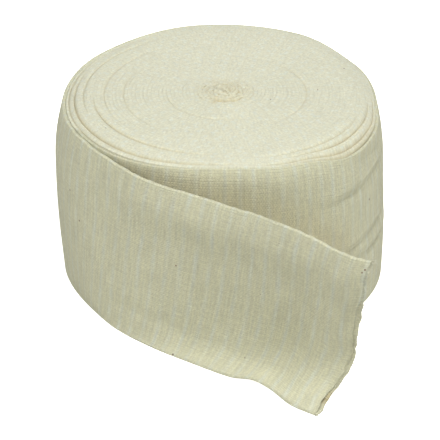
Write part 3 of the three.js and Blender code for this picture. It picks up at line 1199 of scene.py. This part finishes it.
@dataclass(frozen=True)
class ThreadRoot:
    """Where a loose thread end may start.

    Attributes:
        place: The place.
        ahead: The direction out of the cut.
        out: The direction away from the roll.
    """

    place: Vector
    ahead: Vector
    out: Vector


@dataclass
class CutThreads:
    """Loose thread ends along the raw cut.

    Attributes:
        count: How many there are.
        radius: Radius of a thread at its root.
        taper: Share of it that is left at the tip.
        shortest: Length of the shortest thread.
        longest: Length of the longest.
        lean_out: How far one may lean out or in, as a share of its length.
        lean_up: How far one may lean up or down.
        sag: How far its tip sags.
        sides: Sides of its section.
        bends: Points along it where it may bend.
        seed: Start of the random draws.
    """

    count: int = 90
    radius: float = 0.13
    taper: float = 0.6
    shortest: float = 0.9
    longest: float = 2.6
    lean_out: float = 0.5
    lean_up: float = 0.8
    sag: float = 0.25
    sides: int = 5
    bends: int = 3
    seed: int = 7

    def shape_thread(self, mesh: bpy.types.Mesh, root: ThreadRoot, chance: random.Random) -> None:
        """Makes one curved thread end.

        Args:
            mesh: The mesh that it is written to.
            root: Where it starts.
            chance: The source of its unevenness.
        """
        length = chance.uniform(self.shortest, self.longest)
        bm = bmesh.new()
        bmesh.ops.create_cone(
            bm,
            cap_ends=True,
            segments=self.sides,
            radius1=self.radius,
            radius2=self.radius * self.taper,
            depth=length,
        )
        runs = [edge for edge in bm.edges if edge.calc_length() > length / 2]
        bmesh.ops.subdivide_edges(bm, edges=runs, cuts=self.bends)
        up = root.out.cross(root.ahead)
        lean = root.out * chance.uniform(-self.lean_out, self.lean_out)
        lean += up * chance.uniform(-self.lean_up, self.lean_up)
        for vert in bm.verts:
            share = vert.co.z / length + 0.5
            spine = root.ahead * (length * share) + lean * (length * share * share)
            spine.z -= self.sag * length * share * share
            place = root.place + spine + root.out * vert.co.x + up * vert.co.y
            vert.co = Vector((place.x, place.y, max(self.radius * 0.5, place.z))) * METRES
        bm.to_mesh(mesh)
        bm.free()

    def build(self, roots: Sequence[ThreadRoot], cotton: bpy.types.Material) -> bpy.types.Object:
        """Makes the threads.

        Args:
            roots: The places where one may start.
            cotton: Its material.

        Returns:
            The piece.
        """
        chance = random.Random(self.seed)
        bm = bmesh.new()
        single = bpy.data.meshes.new("thread")
        for _ in range(self.count):
            self.shape_thread(single, chance.choice(roots), chance)
            bm.from_mesh(single)
        bpy.data.meshes.remove(single)
        bmesh.ops.recalc_face_normals(bm, faces=bm.faces)
        for face in bm.faces:
            face.smooth = True
        piece = make_piece("cut_threads", bm)
        piece.data.materials.append(cotton)
        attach(piece, "root")
        log.info("cut_threads: %d thread ends", self.count)
        return piece


@dataclass(frozen=True)
class LooseRow:
    """One line across the loose end, from its foot on the floor to its upper edge.

    Attributes:
        foot: Place of the lower fold, on the floor.
        edge: Place of the upper fold.
        toe: How far the cloth lies out along the floor before it turns up.
        belly: How far it bows towards the roll halfway up.
    """

    foot: Span
    edge: Triple
    toe: float
    belly: float


@dataclass
class OuterCloth:
    """The outer turn and the loose end, as an open tube with its two layers a little apart.

    A place across the cloth is a share, from 0 at the lower fold to 1 at the upper one. A distance
    back is counted from the cut.

    Attributes:
        form: The roll's form.
        start_angle: Total angle where the outer turn starts, at the back.
        wrap_end: Total angle at the upper edge where the cloth leaves the roll.
        wrap_step: Degrees between two stations on the roll.
        control_step: Degrees back from that end at which its direction is taken.
        shear: How many degrees the lower edge lags behind there.
        shear_start: Total angle where it starts to lag.
        off_span: Total angles over which the cloth comes off the turn below.
        off_roll: How far it comes off.
        off_lift: How far its upper edge rises.
        crease_end: Total angle up to which the roll's creases show.
        stand_start: Total angle where the upper edge starts to stand off.
        edge_stand: How far it stands off.
        floor_slope: How steeply the foot rises from the floor.
        belly_height: Share of the height at which the cloth bows most.
        fine_points: Points of the fine line that each row is drawn with.
        stations_per_row: Stations from one row to the next.
        across: Points across the cloth.
        fold_points: Points round each fold.
        release: Distances back over which the cloth hangs free of the roll's form.
        edge_lean: How far the upper part leans out there.
        lean_span: Shares over which that lean grows.
        lean_end: Shares over which it ends at the upper edge.
        corner_droop: How far the upper corner of the cut droops.
        corner_reach: Distance back over which it does.
        corner_start: Share from which it does.
        free_reach: Distance back over which the cloth is soft.
        sways: The slow bows of the cloth.
        edge_rise: How unevenly high the free upper edge is.
        edge_ripples: Fineness and phase of that unevenness.
        arch: The lower fold's arch off the floor, by distance back.
        arch_narrowing: How quickly the arch fades upwards.
        foot_crease: Depth of the crease over the lower fold.
        crease_near: Distances back over which it begins.
        crease_far: Distances back over which it ends.
        crease_place: Its share at the cut, how that grows per millimetre back, and its width.
        curl: How far the cut rolls back at its upper corner.
        curl_reach: Distance back over which it does.
        curl_at_foot: How much of that is left at the lower corner.
        ruffles: How many ruffles the cut has.
        ruffle_phase: Where they start.
        ruffle_reach: Distance back over which they show.
        ruffle_height: How high they are.
        wave_reach: Distance back over which the cut's own line shows in the courses.
        cut_waves: The waves of the cut's line, by share.
        back_lead: How far the back layer runs ahead of the front one, by share.
        front_short: How far the front layer falls short, by share.
        fray: How ragged each layer's edge is.
        lip_reach: Distance back over which the raw edge is ragged and rolls out.
        lip_out: How far the front layer's edge rolls out.
        mouth_depth: Distance back over which the layers part.
        mouth_gap: How far they part all along the cut.
        gape: How much further they part, by share.
        pinch: How much closer they lie at the cut itself.
        pinch_reach: Distance back over which they do.
        pinch_free: Where they don't, by share.
        edge_swell: How much fuller the upper fold is on the roll.
        swell_span: Distances back over which that begins.
        swell_width: How far the fullness reaches down from the fold.
        skew: How far the courses lag at the lower fold, where the knit is pulled askew.
        mouth_shade: Painted shade inside the open mouth, by share.
        mouth_shade_reach: Distance back over which it shows.
        shade: Strength of the painted shade on the turn under the loose end, where that end shades
            it.
        shade_turn: Length of cloth up to which it may show.
        shade_near: Angles over which it begins.
        shade_far: Angles over which it ends.
        shade_below: How far it lies below the loose end's upper edge.
        shade_reach: Its reach up and down, at the left and at the right.
        shade_widens: Angles over which the one grows to the other.
        crevice_line: Height of the loose end's upper edge before the roll, by angle.
        root_depth: How far inside the cut a thread end starts.
        rows: The loose end's lines, from the roll to the cut.
    """

    form: RollForm
    start_angle: float = 206.0
    wrap_end: float = 573.0
    wrap_step: float = 1.9
    control_step: float = 6.0
    shear: float = 6.2
    shear_start: float = 490.0
    off_span: Span = (430.0, 520.0)
    off_roll: float = 0.05
    off_lift: float = 0.2
    crease_end: float = 470.0
    stand_start: float = 558.0
    edge_stand: float = 0.4
    floor_slope: float = 0.06
    belly_height: float = 0.39
    fine_points: int = 240
    stations_per_row: int = 15
    across: int = 41
    fold_points: int = 5
    release: Span = (150.0, 80.0)
    edge_lean: float = 2.2
    lean_span: Span = (0.66, 0.88)
    lean_end: Span = (0.84, 1.0)
    corner_droop: float = 2.4
    corner_reach: float = 12.0
    corner_start: float = 0.85
    free_reach: float = 230.0
    sways: tuple[Sway, ...] = (Sway(0.018, 1.6, 2.2, 0.25, 0.9), Sway(0.06, 3.4, 7.9, 0.14, 0.3))
    edge_rise: float = 0.4
    edge_ripples: tuple[Span, ...] = ((0.42, 4.4), (0.09, 1.4))
    arch: Hump = Hump(33.0, 8.0, 1.6)
    arch_narrowing: int = 8
    foot_crease: float = 0.6
    crease_near: Span = (6.0, 20.0)
    crease_far: Span = (135.0, 100.0)
    crease_place: Triple = (0.1, 0.0006, 0.03)
    curl: float = 3.0
    curl_reach: float = 9.0
    curl_at_foot: float = 0.3
    ruffles: float = 4.3
    ruffle_phase: float = 0.15
    ruffle_reach: float = 14.0
    ruffle_height: float = 0.8
    wave_reach: float = 22.0
    cut_waves: tuple[Hump, ...] = (
        Hump(0.02, 0.06, 1.5),
        Hump(0.16, 0.06, -0.8),
        Hump(0.3, 0.13, 3.3),
        Hump(0.5, 0.1, 1.6),
        Hump(0.72, 0.1, 1.0),
        Hump(0.97, 0.1, -1.0),
    )
    back_lead: Hump = Hump(0.05, 0.07, 0.8)
    front_short: tuple[Span, ...] = (
        (0.0, 0.6),
        (0.05, 0.8),
        (0.12, 0.9),
        (0.18, 0.6),
        (0.26, 1.2),
        (0.3, 2.0),
        (0.38, 0.5),
        (0.52, 1.7),
        (0.66, 1.5),
        (0.8, 0.3),
        (1.0, 0.0),
    )
    fray: float = 0.7
    lip_reach: float = 4.0
    lip_out: float = 0.6
    mouth_depth: float = 30.0
    mouth_gap: float = 0.1
    gape: Hump = Hump(0.1, 0.05, 1.0)
    pinch: float = 0.38
    pinch_reach: float = 8.0
    pinch_free: Hump = Hump(0.06, 0.07, 1.0)
    edge_swell: float = 0.15
    swell_span: Span = (260.0, 200.0)
    swell_width: float = 0.035
    skew: float = 5.0
    mouth_shade: Hump = Hump(0.13, 0.045, 0.8)
    mouth_shade_reach: float = 6.0
    shade: float = 0.3
    shade_turn: float = 200.0
    shade_near: Span = (215.0, 235.0)
    shade_far: Span = (330.0, 312.0)
    shade_below: float = 4.0
    shade_reach: Span = (6.0, 13.0)
    shade_widens: Span = (240.0, 290.0)
    crevice_line: tuple[Span, ...] = (
        (215, 84),
        (243, 83),
        (259, 80),
        (273, 76),
        (286, 68),
        (301, 55),
        (315, 42),
        (330, 30),
    )
    root_depth: float = 0.6
    rows: tuple[LooseRow, ...] = (
        LooseRow((-56.5, -43.2), (-50.6, -53.2, 83.7), -2.5, -2),
        LooseRow((-46.3, -58.2), (-34.6, -67.9, 81.5), 2, 0),
        LooseRow((-30, -73.6), (-13.6, -80.0, 79.9), 8, 1),
        LooseRow((-12, -86.7), (7.5, -90.1, 78.2), 18, 7),
        LooseRow((4.6, -97.8), (24, -100.1, 77.4), 25, 10),
        LooseRow((19.2, -105.4), (40.4, -109.9, 74.5), 30, 11),
        LooseRow((29.8, -119.2), (52.5, -116.4, 71.2), 35, 12),
        LooseRow((38.8, -125.8), (61.2, -121, 72.1), 35, 12),
    )

    def wrapped_line(self, angle: float) -> list[Vector]:
        """A line across the cloth where it lies on the roll, from the lower fold to the upper.

        Args:
            angle: Total angle at the upper edge.

        Returns:
            Its points.
        """
        shear = self.shear * share_of(angle, self.shear_start, self.wrap_end) ** 2
        off = ease(angle, *self.off_span)
        fold = SHEET_THICKNESS / 2
        line = []
        for n in range(self.across):
            share = n / (self.across - 1)
            at = angle - shear * (1 - share)
            even = mix(fold, CLOTH_WIDTH - fold, share)
            radius, z = self.form.settle(at, self.form.spiral(at) - TURN_PITCH / 2, even)
            radius += self.edge_stand * ease(angle, self.stand_start, self.wrap_end) * share**3
            radius += self.off_roll * off
            if angle < self.crease_end:
                radius -= self.form.crease_depth(at, z)
            a = math.radians(at)
            z += self.off_lift * off * share
            line.append(Vector((radius * math.cos(a), radius * math.sin(a), z)))
        return line

    def loose_line(self, number: int) -> list[Vector]:
        """A line across the loose cloth: it lies out along the floor and then turns up.

        Args:
            number: Which row.

        Returns:
            Its points, evenly spaced.
        """
        row = self.rows[number]
        before = Vector(self.rows[max(0, number - 1)].edge)
        after = Vector(self.rows[min(len(self.rows) - 1, number + 1)].edge)
        run = (after - before).xy.normalized()
        inward = Vector((-run.y, run.x, 0.0))
        foot = Vector((*row.foot, SHEET_THICKNESS / 2))
        edge = Vector(row.edge)
        toe = foot + inward * row.toe
        toe.z = SHEET_THICKNESS / 2 + self.floor_slope * row.toe
        middle = foot.lerp(edge, self.belly_height) + inward * row.belly
        return self.spaced(interpolate_bezier(foot, toe, middle, edge, self.fine_points))

    def spaced(self, fine: Sequence[Vector]) -> list[Vector]:
        """Points evenly spaced along a finely drawn line.

        Args:
            fine: The line's own points.

        Returns:
            As many points as the cloth has across.
        """
        run = [0.0]
        for a, b in zip(fine, fine[1:]):
            run.append(run[-1] + (b - a).length)
        points, n = [], 0
        for step in range(self.across):
            target = run[-1] * step / (self.across - 1)
            while n < len(run) - 2 and run[n + 1] < target:
                n += 1
            share = (target - run[n]) / (run[n + 1] - run[n])
            points.append(fine[n].lerp(fine[n + 1], share))
        return points

    def follow(self, points: Sequence[Vector], number: int, share: float) -> Vector:
        """A place on a smooth curve through points, unevenly spaced ones too.

        Args:
            points: The points.
            number: Which interval.
            share: How far along it.

        Returns:
            The place.
        """
        p1, p2 = points[number], points[number + 1]
        p0 = points[number - 1] if number > 0 else p1 * 2 - p2
        p3 = points[number + 2] if number + 2 < len(points) else p2 * 2 - p1
        d0, d1, d2 = ((b - a).length ** 0.5 for a, b in ((p0, p1), (p1, p2), (p2, p3)))
        t1 = ((p1 - p0) / d0 - (p2 - p0) / (d0 + d1) + (p2 - p1) / d1) * d1
        t2 = ((p2 - p1) / d1 - (p3 - p1) / (d1 + d2) + (p3 - p2) / d2) * d1
        s = share
        return (
            p1 * (2 * s**3 - 3 * s**2 + 1)
            + t1 * (s**3 - 2 * s**2 + s)
            + p2 * (3 * s**2 - 2 * s**3)
            + t2 * (s**3 - s**2)
        )

    def middle_surface(self) -> list[list[Vector]]:
        """The middle of the cloth, station by station, from the start of the turn to the cut.

        Returns:
            The lines across it.
        """
        steps = round((self.wrap_end - self.start_angle) / self.wrap_step)
        lines = [
            self.wrapped_line(mix(self.start_angle, self.wrap_end, n / steps))
            for n in range(steps + 1)
        ]
        control = [self.wrapped_line(self.wrap_end - self.control_step), lines[-1]]
        control += [self.loose_line(number) for number in range(len(self.rows))]
        runs = [[line[j] for line in control] for j in range(self.across)]
        for interval in range(1, len(control) - 1):
            for n in range(1, self.stations_per_row + 1):
                share = n / self.stations_per_row
                lines.append([self.follow(run, interval, share) for run in runs])
        return lines

    def directions(self, lines: Sequence[Sequence[Vector]], i: int, j: int) -> Ways:
        """The ahead, up and outward directions at a point of the middle surface.

        Args:
            lines: The middle surface.
            i: Station.
            j: Point across.

        Returns:
            The three directions.
        """
        top = self.across - 1
        ahead = lines[min(i + 1, len(lines) - 1)][j] - lines[max(i - 1, 0)][j]
        up = lines[i][min(j + 1, top)] - lines[i][max(j - 1, 0)]
        out = ahead.cross(up).normalized()
        return ahead.normalized(), up.normalized(), out

    def loosen(self, point: Vector, way: Ways, share: float, u: float, back: float) -> Vector:
        """A point of the middle surface with the cloth's soft unevenness and the shape of the cut.

        Args:
            point: The point.
            way: The ahead, up and outward directions there.
            share: How far across the cloth, from the lower fold.
            u: Distance along the cloth.
            back: Distance back from the cut.

        Returns:
            The moved point.
        """
        ahead, _, out = way
        free = nearness(back, self.free_reach) ** 0.5
        mid = (4 * share * (1 - share)) ** 0.5
        moved = point.copy()
        leaning = ease(share, *self.lean_span) * (1 - share_of(share, *self.lean_end) ** 2)
        moved += out * (self.edge_lean * ease(back, *self.release) * leaning)
        corner = nearness(back, self.corner_reach) ** 2 * share_of(share, self.corner_start, 1.0)
        moved.z -= self.corner_droop * corner
        moved += out * (sum(sway.out_by(u, share, free) for sway in self.sways) * mid)
        rise = sum(ripple(u * fine, 0.0, phase) for fine, phase in self.edge_ripples)
        moved.z += free * share**6 * self.edge_rise * rise
        moved.z += self.arch.over(back) * (1 - share) ** self.arch_narrowing
        span = ease(back, *self.crease_near) * ease(back, *self.crease_far)
        start, growth, width = self.crease_place
        moved -= out * (self.foot_crease * span * bump(share, start + growth * back, width))
        rolled = self.curl * mix(self.curl_at_foot, 1.0, share)
        moved -= out * (rolled * nearness(back, self.curl_reach) ** 2)
        wave = sum(each.over(share) for each in self.cut_waves)
        moved += ahead * (wave * nearness(back, self.wave_reach))
        ruffle = math.sin(math.tau * (self.ruffles * share + self.ruffle_phase))
        ruffle *= nearness(back, self.ruffle_reach) ** 1.5
        moved += out * (self.ruffle_height * ruffle * mid)
        return moved

    def parting(self, share: float, back: float) -> float:
        """Half the gap between the two layers.

        Args:
            share: How far across the cloth.
            back: Distance back from the cut.

        Returns:
            Half the gap.
        """
        opened = nearness(back, self.mouth_depth)
        pinched = self.pinch * nearness(back, self.pinch_reach) * (1 - self.pinch_free.over(share))
        return (opened * self.mouth_gap + opened**3 * self.gape.over(share) - pinched) / 2

    def edge_shift(self, layer: Layer, share: float, back: float) -> float:
        """How far a layer's cut edge runs ahead.

        Args:
            layer: Which layer.
            share: How far across the cloth.
            back: Distance back from the cut.

        Returns:
            The distance ahead, negative where the layer falls short.
        """
        if layer is Layer.BACK:
            return self.back_lead.over(share) * nearness(back, self.wave_reach)
        return -read_table(self.front_short, share) * nearness(back, self.wave_reach)

    def ring(self, line: Sequence[Vector], ways: Sequence[Ways], back: float) -> list[Vector]:
        """The closed loop round the tube at one station.

        Args:
            line: The middle line across the cloth.
            ways: The directions at its points.
            back: Distance back from the cut.

        Returns:
            Up the front layer, over the fold, down the back layer and under the lower fold.
        """
        top = self.across - 1
        swell = Hump(1.0, self.swell_width, self.edge_swell * ease(back, *self.swell_span))
        half = [
            SHEET_THICKNESS / 2 + self.parting(j / top, back) + swell.over(j / top)
            for j in range(self.across)
        ]

        def on_layer(j: int, layer: Layer) -> Vector:
            """The point of one layer at a place across the cloth.

            Args:
                j: Point across.
                layer: Which layer.

            Returns:
                The point.
            """
            share = j / top
            ahead, _, out = ways[j]
            at_lip = nearness(back, self.lip_reach)
            roll_out = 0.0
            if layer is Layer.FRONT:
                roll_out = self.lip_out * at_lip**2 * (0.6 + ripple(share * 9, 3.3, 0))
            place = line[j] + out * (layer.value * half[j] + roll_out)
            ragged = self.fray * ripple(share * 34, 5.1 * layer.value, 0.0) * at_lip
            return place + ahead * (self.edge_shift(layer, share, back) + ragged)

        def fold(j: int, first: Layer, rise: float) -> list[Vector]:
            """The points round a folded edge, from one layer to the other.

            Args:
                j: Point across where the fold is.
                first: The layer that it starts on.
                rise: 1 for the upper fold, -1 for the lower one.

            Returns:
                The points.
            """
            _, up, _ = ways[j]
            second = Layer.BACK if first is Layer.FRONT else Layer.FRONT
            start, end = on_layer(j, first), on_layer(j, second)
            points = []
            for n in range(1, self.fold_points + 1):
                turn = math.pi * n / (self.fold_points + 1)
                between = start.lerp(end, (1 - math.cos(turn)) / 2)
                points.append(between + up * (rise * half[j] * math.sin(turn)))
            return points

        front = [on_layer(j, Layer.FRONT) for j in range(self.across)]
        back_layer = [on_layer(j, Layer.BACK) for j in range(top, -1, -1)]
        loop = front + fold(top, Layer.FRONT, 1.0) + back_layer + fold(0, Layer.BACK, -1.0)
        return [Vector((p.x, p.y, max(0.0, p.z))) for p in loop]

    def girth(self) -> list[float]:
        """Distance round the tube at each row of the loop.

        Returns:
            The distances, ending with the whole girth.
        """
        fold = math.pi * SHEET_THICKNESS / 2
        face = CLOTH_WIDTH - fold
        around = [0.0]
        for length, count in ((face, self.across - 1), (fold, self.fold_points + 1)) * 2:
            start = around[-1]
            around += [start + length * (n + 1) / count for n in range(count)]
        return around

    def share_at(self, k: int) -> tuple[float, bool]:
        """Where a row of the loop lies.

        Args:
            k: The row.

        Returns:
            How far across the cloth it lies, and whether it is on the back layer.
        """
        top = self.across - 1
        if k <= top:
            return k / top, False
        if k <= top + self.fold_points:
            return 1.0, False
        return max(0.0, 1 - (k - top - self.fold_points - 1) / top), True

    def skew_at(self, k: int, back: float) -> float:
        """How far the courses run ahead at a row, because the knit is pulled askew."""
        share, _ = self.share_at(k)
        return -self.skew * (1 - share) * ease(back, *self.release)

    def crevice_shade(self, place: Vector, u: float) -> float:
        """The painted shade on the turn under the loose end, where that end shades it.

        Args:
            place: The point.
            u: Distance along the cloth.

        Returns:
            The painted shade.
        """
        angle = math.degrees(math.atan2(place.y, place.x)) % 360
        if u > self.shade_turn or not self.shade_near[0] < angle < self.shade_far[0]:
            return 0.0
        # Painted shade: a band of the roll's side just under the loose end's upper edge is
        # darkened.
        line = read_table(self.crevice_line, angle)
        fade = ease(angle, *self.shade_near) * ease(angle, *self.shade_far)
        reach = mix(*self.shade_reach, ease(angle, *self.shade_widens))
        return self.shade * fade * bump(place.z, line - self.shade_below, reach)

    def mouth_shading(self, k: int, back: float) -> float:
        """The painted shade inside the open mouth."""
        share, behind = self.share_at(k)
        # Painted shade on the back layer inside the open mouth.
        shade = self.mouth_shade.over(share) * nearness(back, self.mouth_shade_reach)
        return shade if behind else 0.0

    def thread_roots(self, ring: Sequence[Vector], ways: Sequence[Ways]) -> list[ThreadRoot]:
        """The places along the cut where thread ends may start.

        Args:
            ring: The last loop round the tube.
            ways: The directions at its points.

        Returns:
            The places, inside both layers.
        """
        top, roots = self.across - 1, []
        for k, rim in enumerate(ring):
            share, behind = self.share_at(k)
            ahead, _, out = ways[round(share * top)]
            inwards = LAYER_THICKNESS / 2 * (1 if behind else -1)
            start = rim + out * inwards - ahead * self.root_depth
            roots.append(ThreadRoot(start, ahead, out))
        return roots

    def build(self, cloth: bpy.types.Material, cotton: bpy.types.Material) -> bpy.types.Object:
        """Makes the open tube, and the thread ends at its cut.

        Args:
            cloth: Its material.
            cotton: The thread ends' material.

        Returns:
            The piece.
        """
        lines = self.middle_surface()
        top, middle = self.across - 1, self.across // 2
        count = len(lines)
        along, back = [0.0], [0.0] * count
        for i in range(1, count):
            along.append(along[-1] + (lines[i][middle] - lines[i - 1][middle]).length)
        for i in range(count - 2, -1, -1):
            back[i] = back[i + 1] + (lines[i + 1][top] - lines[i][top]).length
        rings = []
        for i, line in enumerate(lines):
            ways = [self.directions(lines, i, j) for j in range(self.across)]
            shaped = [
                self.loosen(point, way, j / top, along[i], back[i])
                for j, (point, way) in enumerate(zip(line, ways))
            ]
            rings.append(self.ring(shaped, ways, back[i]))
        threads = CutThreads().build(self.thread_roots(rings[-1], ways), cotton)
        grid = ClothGrid("outer_cloth", along, self.girth(), lambda i, k: self.skew_at(k, back[i]))

        def painted_shade(i: int, k: int) -> float:
            """The painted shade at a station and row: inside the open mouth and under the loose
            end.
            """
            return self.mouth_shading(k, back[i]) + self.crevice_shade(rings[i][k], along[i])

        piece = grid.build(lambda i, k: rings[i][k], painted_shade, closed_ends=False)
        wall = piece.modifiers.new("wall", "SOLIDIFY")
        wall.thickness = LAYER_THICKNESS * METRES
        wall.offset = -1.0
        piece.data.materials.append(cloth)
        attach(piece, "root")
        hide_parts("loose_end")
        log.info("outer_cloth: %.3f m of cloth, %d stations", along[-1] * METRES, count)
        return piece


@dataclass(frozen=True)
class Lamp:
    """One round soft light, turned towards the roll.

    Attributes:
        name: Its name.
        place: Its place, in metres.
        energy: Its power, in watts.
        colour: Its colour.
    """

    name: str
    place: Triple
    energy: float
    colour: Triple


@dataclass(frozen=True)
class Studio:
    """The floor, the soft light and the camera. Its places and sizes are in metres.

    Attributes:
        camera_place: Where the camera stands.
        camera_down: How many degrees it looks down.
        camera_turn: How many degrees it is turned to the left.
        lens: Its focal length, in millimetres.
        sensor: Width of its picture, in millimetres.
        sky: Strength of the sky's light.
        sky_colour: Its colour.
        backdrop: How much brighter the sky is to the camera.
        floor_size: Length of the floor's side.
        floor_colour: Colour of the floor.
        floor_roughness: Roughness of the floor.
        floor_glow: Strength of its glow.
        floor_white: How much brighter that is to the camera.
        glow_colour: Colour of the glow.
        lamp_size: Diameter of each lamp.
        lamp_aim: The place that the lamps are turned to.
        lamps: The lamps.
    """

    camera_place: Triple = (0.0, -1.0943, 0.64785)
    camera_down: float = 29.7515
    camera_turn: float = 0.0436
    lens: float = 225.7
    sensor: float = 36.0
    sky: float = 0.03
    sky_colour: Colour = (1.0, 0.99, 0.97, 1.0)
    backdrop: float = 0.95
    floor_size: float = 8.0
    floor_colour: Colour = (0.55, 0.55, 0.52, 1.0)
    floor_roughness: float = 0.9
    floor_glow: float = 0.35
    floor_white: float = 0.7
    glow_colour: Colour = (1.0, 0.99, 0.95, 1.0)
    lamp_size: float = 2.0
    lamp_aim: Triple = (0.0, 0.0, 0.04)
    lamps: tuple[Lamp, ...] = (
        Lamp("light_overhead", (0.0, -0.9, 2.38), 69.5, (0.96, 0.97, 1.0)),
        Lamp("light_right", (2.2, -0.9, 1.6), 27.0, (1.0, 0.99, 0.92)),
        Lamp("light_left", (-2.2, -0.7, 1.6), 17.0, (1.0, 0.99, 0.92)),
    )

    def lay_floor(self) -> None:
        """The plain pale floor."""
        bm = bmesh.new()
        bmesh.ops.create_grid(bm, x_segments=1, y_segments=1, size=self.floor_size / 2)
        floor = make_piece("floor", bm)
        material, w, shader = start_material("floor_white")
        seen = w.node("ShaderNodeLightPath").outputs["Is Camera Ray"]
        values = {
            "Base Color": self.floor_colour,
            "Roughness": self.floor_roughness,
            "Specular IOR Level": 0.0,
            "Emission Color": self.glow_colour,
            "Emission Strength": w.math("MULTIPLY_ADD", seen, self.floor_white, self.floor_glow),
        }
        w.fill(shader, values)
        floor.data.materials.append(material)
        floor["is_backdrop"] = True

    def hang_lights(self) -> None:
        """A faint even sky, white to the camera, and three large soft lights."""
        world = bpy.data.worlds.new("studio_sky")
        bpy.context.scene.world = world
        world.use_nodes = True
        sky = next(n for n in world.node_tree.nodes if n.type == "BACKGROUND")
        w = Wiring(world.node_tree)
        seen = w.node("ShaderNodeLightPath").outputs["Is Camera Ray"]
        strength = w.math("MULTIPLY_ADD", seen, self.backdrop, self.sky)
        w.fill(sky, {"Color": self.sky_colour, "Strength": strength})
        for each in self.lamps:
            place = Vector(each.place)
            lamp = bpy.data.lights.new(each.name, "AREA")
            lamp.shape = "DISK"
            lamp.size = self.lamp_size
            lamp.energy = each.energy
            lamp.color = each.colour
            light = bpy.data.objects.new(each.name, lamp)
            turn = (Vector(self.lamp_aim) - place).to_track_quat("-Z", "Y")
            light.matrix_world = Matrix.Translation(place) @ turn.to_matrix().to_4x4()
            bpy.context.scene.collection.objects.link(light)

    def set_camera(self) -> None:
        """The camera, looking down at the front of the roll."""
        data = bpy.data.cameras.new("camera")
        data.lens = self.lens
        data.sensor_width = self.sensor
        camera = bpy.data.objects.new("camera", data)
        camera.location = self.camera_place
        camera.rotation_euler = (
            math.radians(90 - self.camera_down),
            0.0,
            math.radians(self.camera_turn),
        )
        bpy.context.scene.collection.objects.link(camera)
        bpy.context.scene.camera = camera

    def build(self) -> None:
        """Sets up the studio."""
        self.set_camera()
        self.lay_floor()
        self.hang_lights()
        bpy.context.scene.view_settings.view_transform = "Standard"
        log.info("studio: camera, floor and lights")


def write_sizes() -> None:
    """Works out the CAD box and the visual model's box; nothing is kept."""
    boxes = {"cad": cad_box, "visual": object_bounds()}
    {name: [list(corner) for corner in box] for name, box in boxes.items()}


def main() -> None:
    """Builds the roll, its loose end and the studio."""
    Studio().build()
    form, effects = RollForm(), KnitEffects()
    wound_cream = (0.635, 0.625, 0.475, 1.0)
    wound_knit = CottonKnit("knit_wound", wound_cream, pit_shade_share=0.08, stitch_depth=0.0001)
    InnerTurns(form).build(wound_knit.build(effects))
    outer_knit, thread = CottonKnit("knit_outer"), CottonThread()
    OuterCloth(form).build(outer_knit.build(effects), thread.build(effects))
    write_sizes()


if __name__ == "__main__":
    main()
